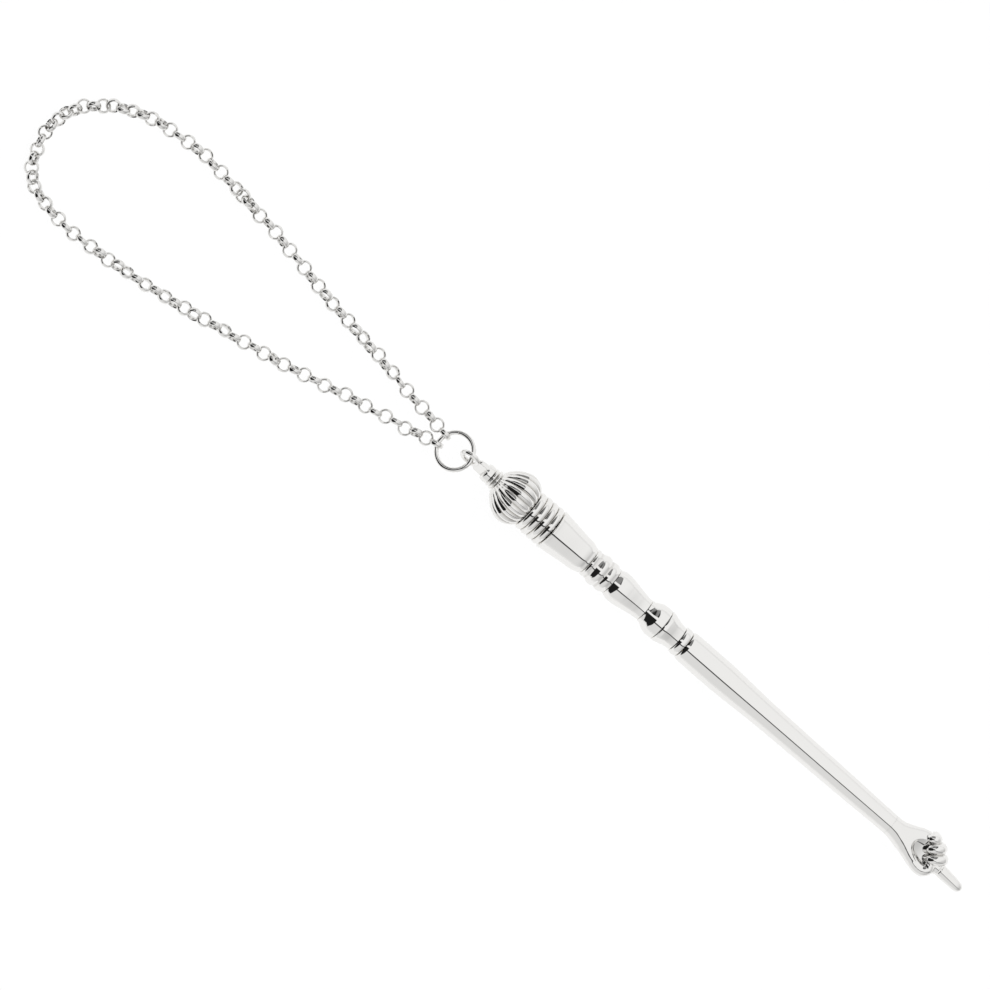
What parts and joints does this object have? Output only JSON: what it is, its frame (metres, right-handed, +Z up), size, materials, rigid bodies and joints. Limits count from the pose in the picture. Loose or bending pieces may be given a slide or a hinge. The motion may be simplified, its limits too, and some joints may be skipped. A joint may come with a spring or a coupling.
{
  "type": "torah pointer",
  "caption": "Polished metal reading pointer: a small right hand with a straight index finger on a turned handle with a fluted bulb, and a chain loop on a jump ring to hang it by.",
  "frame": {"origin": "on the surface that the pointer lies on, under the middle of the wand and jump ring, without the chain", "axes": "+X along the wand to the fingertip, +Z up, palm side of the hand up; the chain loop lies flat towards -X"},
  "size_m": [0.3202, 0.0425, 0.0152],
  "materials": {
    "silver_plate": "silver plate, polished",
    "chain_silver": "silver plate, tumbled bright",
    "rod_steel": "turned steel",
    "bush_brass": "turned brass"
  },
  "bodies": {
    "wand": {"hanging_eye": "silver_plate", "neck_ring_upper": "silver_plate", "neck_ring_lower": "silver_plate", "fluted_bulb": "silver_plate", "reeded_collar": "silver_plate", "grip": "silver_plate", "centre_band": "silver_plate", "vase_sleeve": "silver_plate", "knop_upper": "silver_plate", "knop_lower": "silver_plate", "shaft_collar": "silver_plate", "shaft": "silver_plate", "shaft_bush": "bush_brass", "tie_rod": "rod_steel", "pointing_hand": "silver_plate", "index_finger": "silver_plate"},
    "ring": {"jump_ring": "silver_plate"},
    "chain": {"end_link_upper": "chain_silver", "end_link_lower": "chain_silver", "chain_loop": "chain_silver"}
  },
  "joints": [
    {"name": "ring_swing", "type": "hinge", "parent": "wand", "child": "ring", "pos_m": [-0.08326, -0.00015, 0.00759], "axis": [0, 1, 0], "range_deg": [-60, 90]},
    {"name": "chain_swing", "type": "hinge", "parent": "ring", "child": "chain", "pos_m": [-0.09208, -0.00128, 0.00366], "axis": [0, 1, 0], "range_deg": [-60, 60]}
  ]
}
